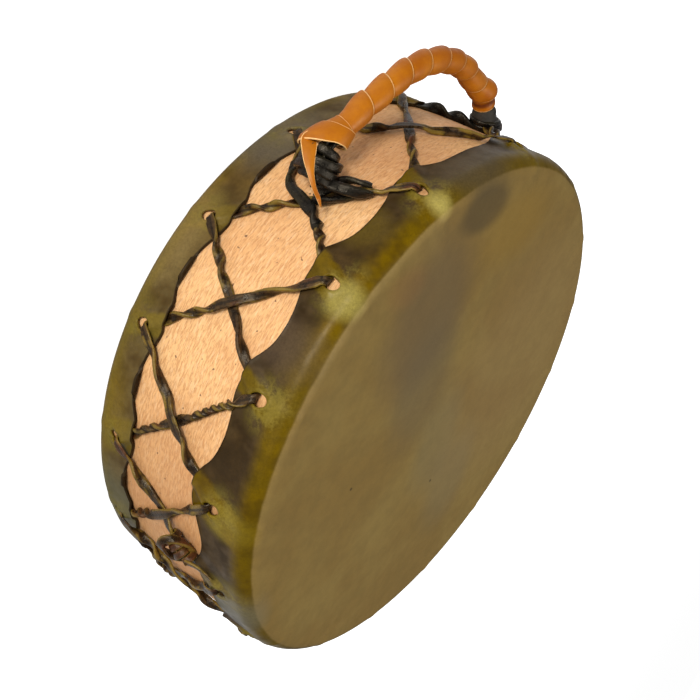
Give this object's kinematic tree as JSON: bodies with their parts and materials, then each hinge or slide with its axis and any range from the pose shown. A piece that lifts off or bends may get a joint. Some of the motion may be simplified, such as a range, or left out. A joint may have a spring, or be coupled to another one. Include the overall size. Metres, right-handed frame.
{
  "type": "hand drum",
  "caption": "Round frame hand drum: a bent wood hoop with a hide head on each face, zigzag rawhide lacing round its side and a leather-wrapped carrying handle that tilts on its lashings.",
  "frame": {"origin": "centre of the back head's outer face, on which the drum lies", "axes": "+Z along the drum's axis towards the front head, +Y from the axis towards the handle, +X to the right seen from the front head with the handle up"},
  "size_m": [0.3154, 0.3511, 0.1094],
  "materials": {
    "hoop_wood": "bare fine-grained birch, satin",
    "head_hide": "olive-brown rawhide with smoky patches, semi-gloss",
    "lace_hide": "dark brown twisted rawhide lace, glossy",
    "knot_hide": "near-black rawhide lace, glossy",
    "wrap_leather": "tan leather strip with pale cut edges, satin"
  },
  "bodies": {
    "drum": {"hoop": "hoop_wood", "front_head": "head_hide", "back_head": "head_hide", "over_lace": "lace_hide", "under_lace": "lace_hide", "tie_off_knot": "lace_hide"},
    "handle": {"handle_strand_1": "knot_hide", "handle_strand_2": "knot_hide", "handle_strand_3": "knot_hide", "handle_wrap": "wrap_leather", "left_root_knot": "knot_hide", "right_root_knot": "knot_hide", "right_cuff": "knot_hide"}
  },
  "joints": [
    {"name": "handle_tilt", "type": "hinge", "parent": "drum", "child": "handle", "pos_m": [-0.07911, 0.14571, 0.0547], "axis": [0.9994, 0.036, 0], "range_deg": [-40, 40]}
  ]
}
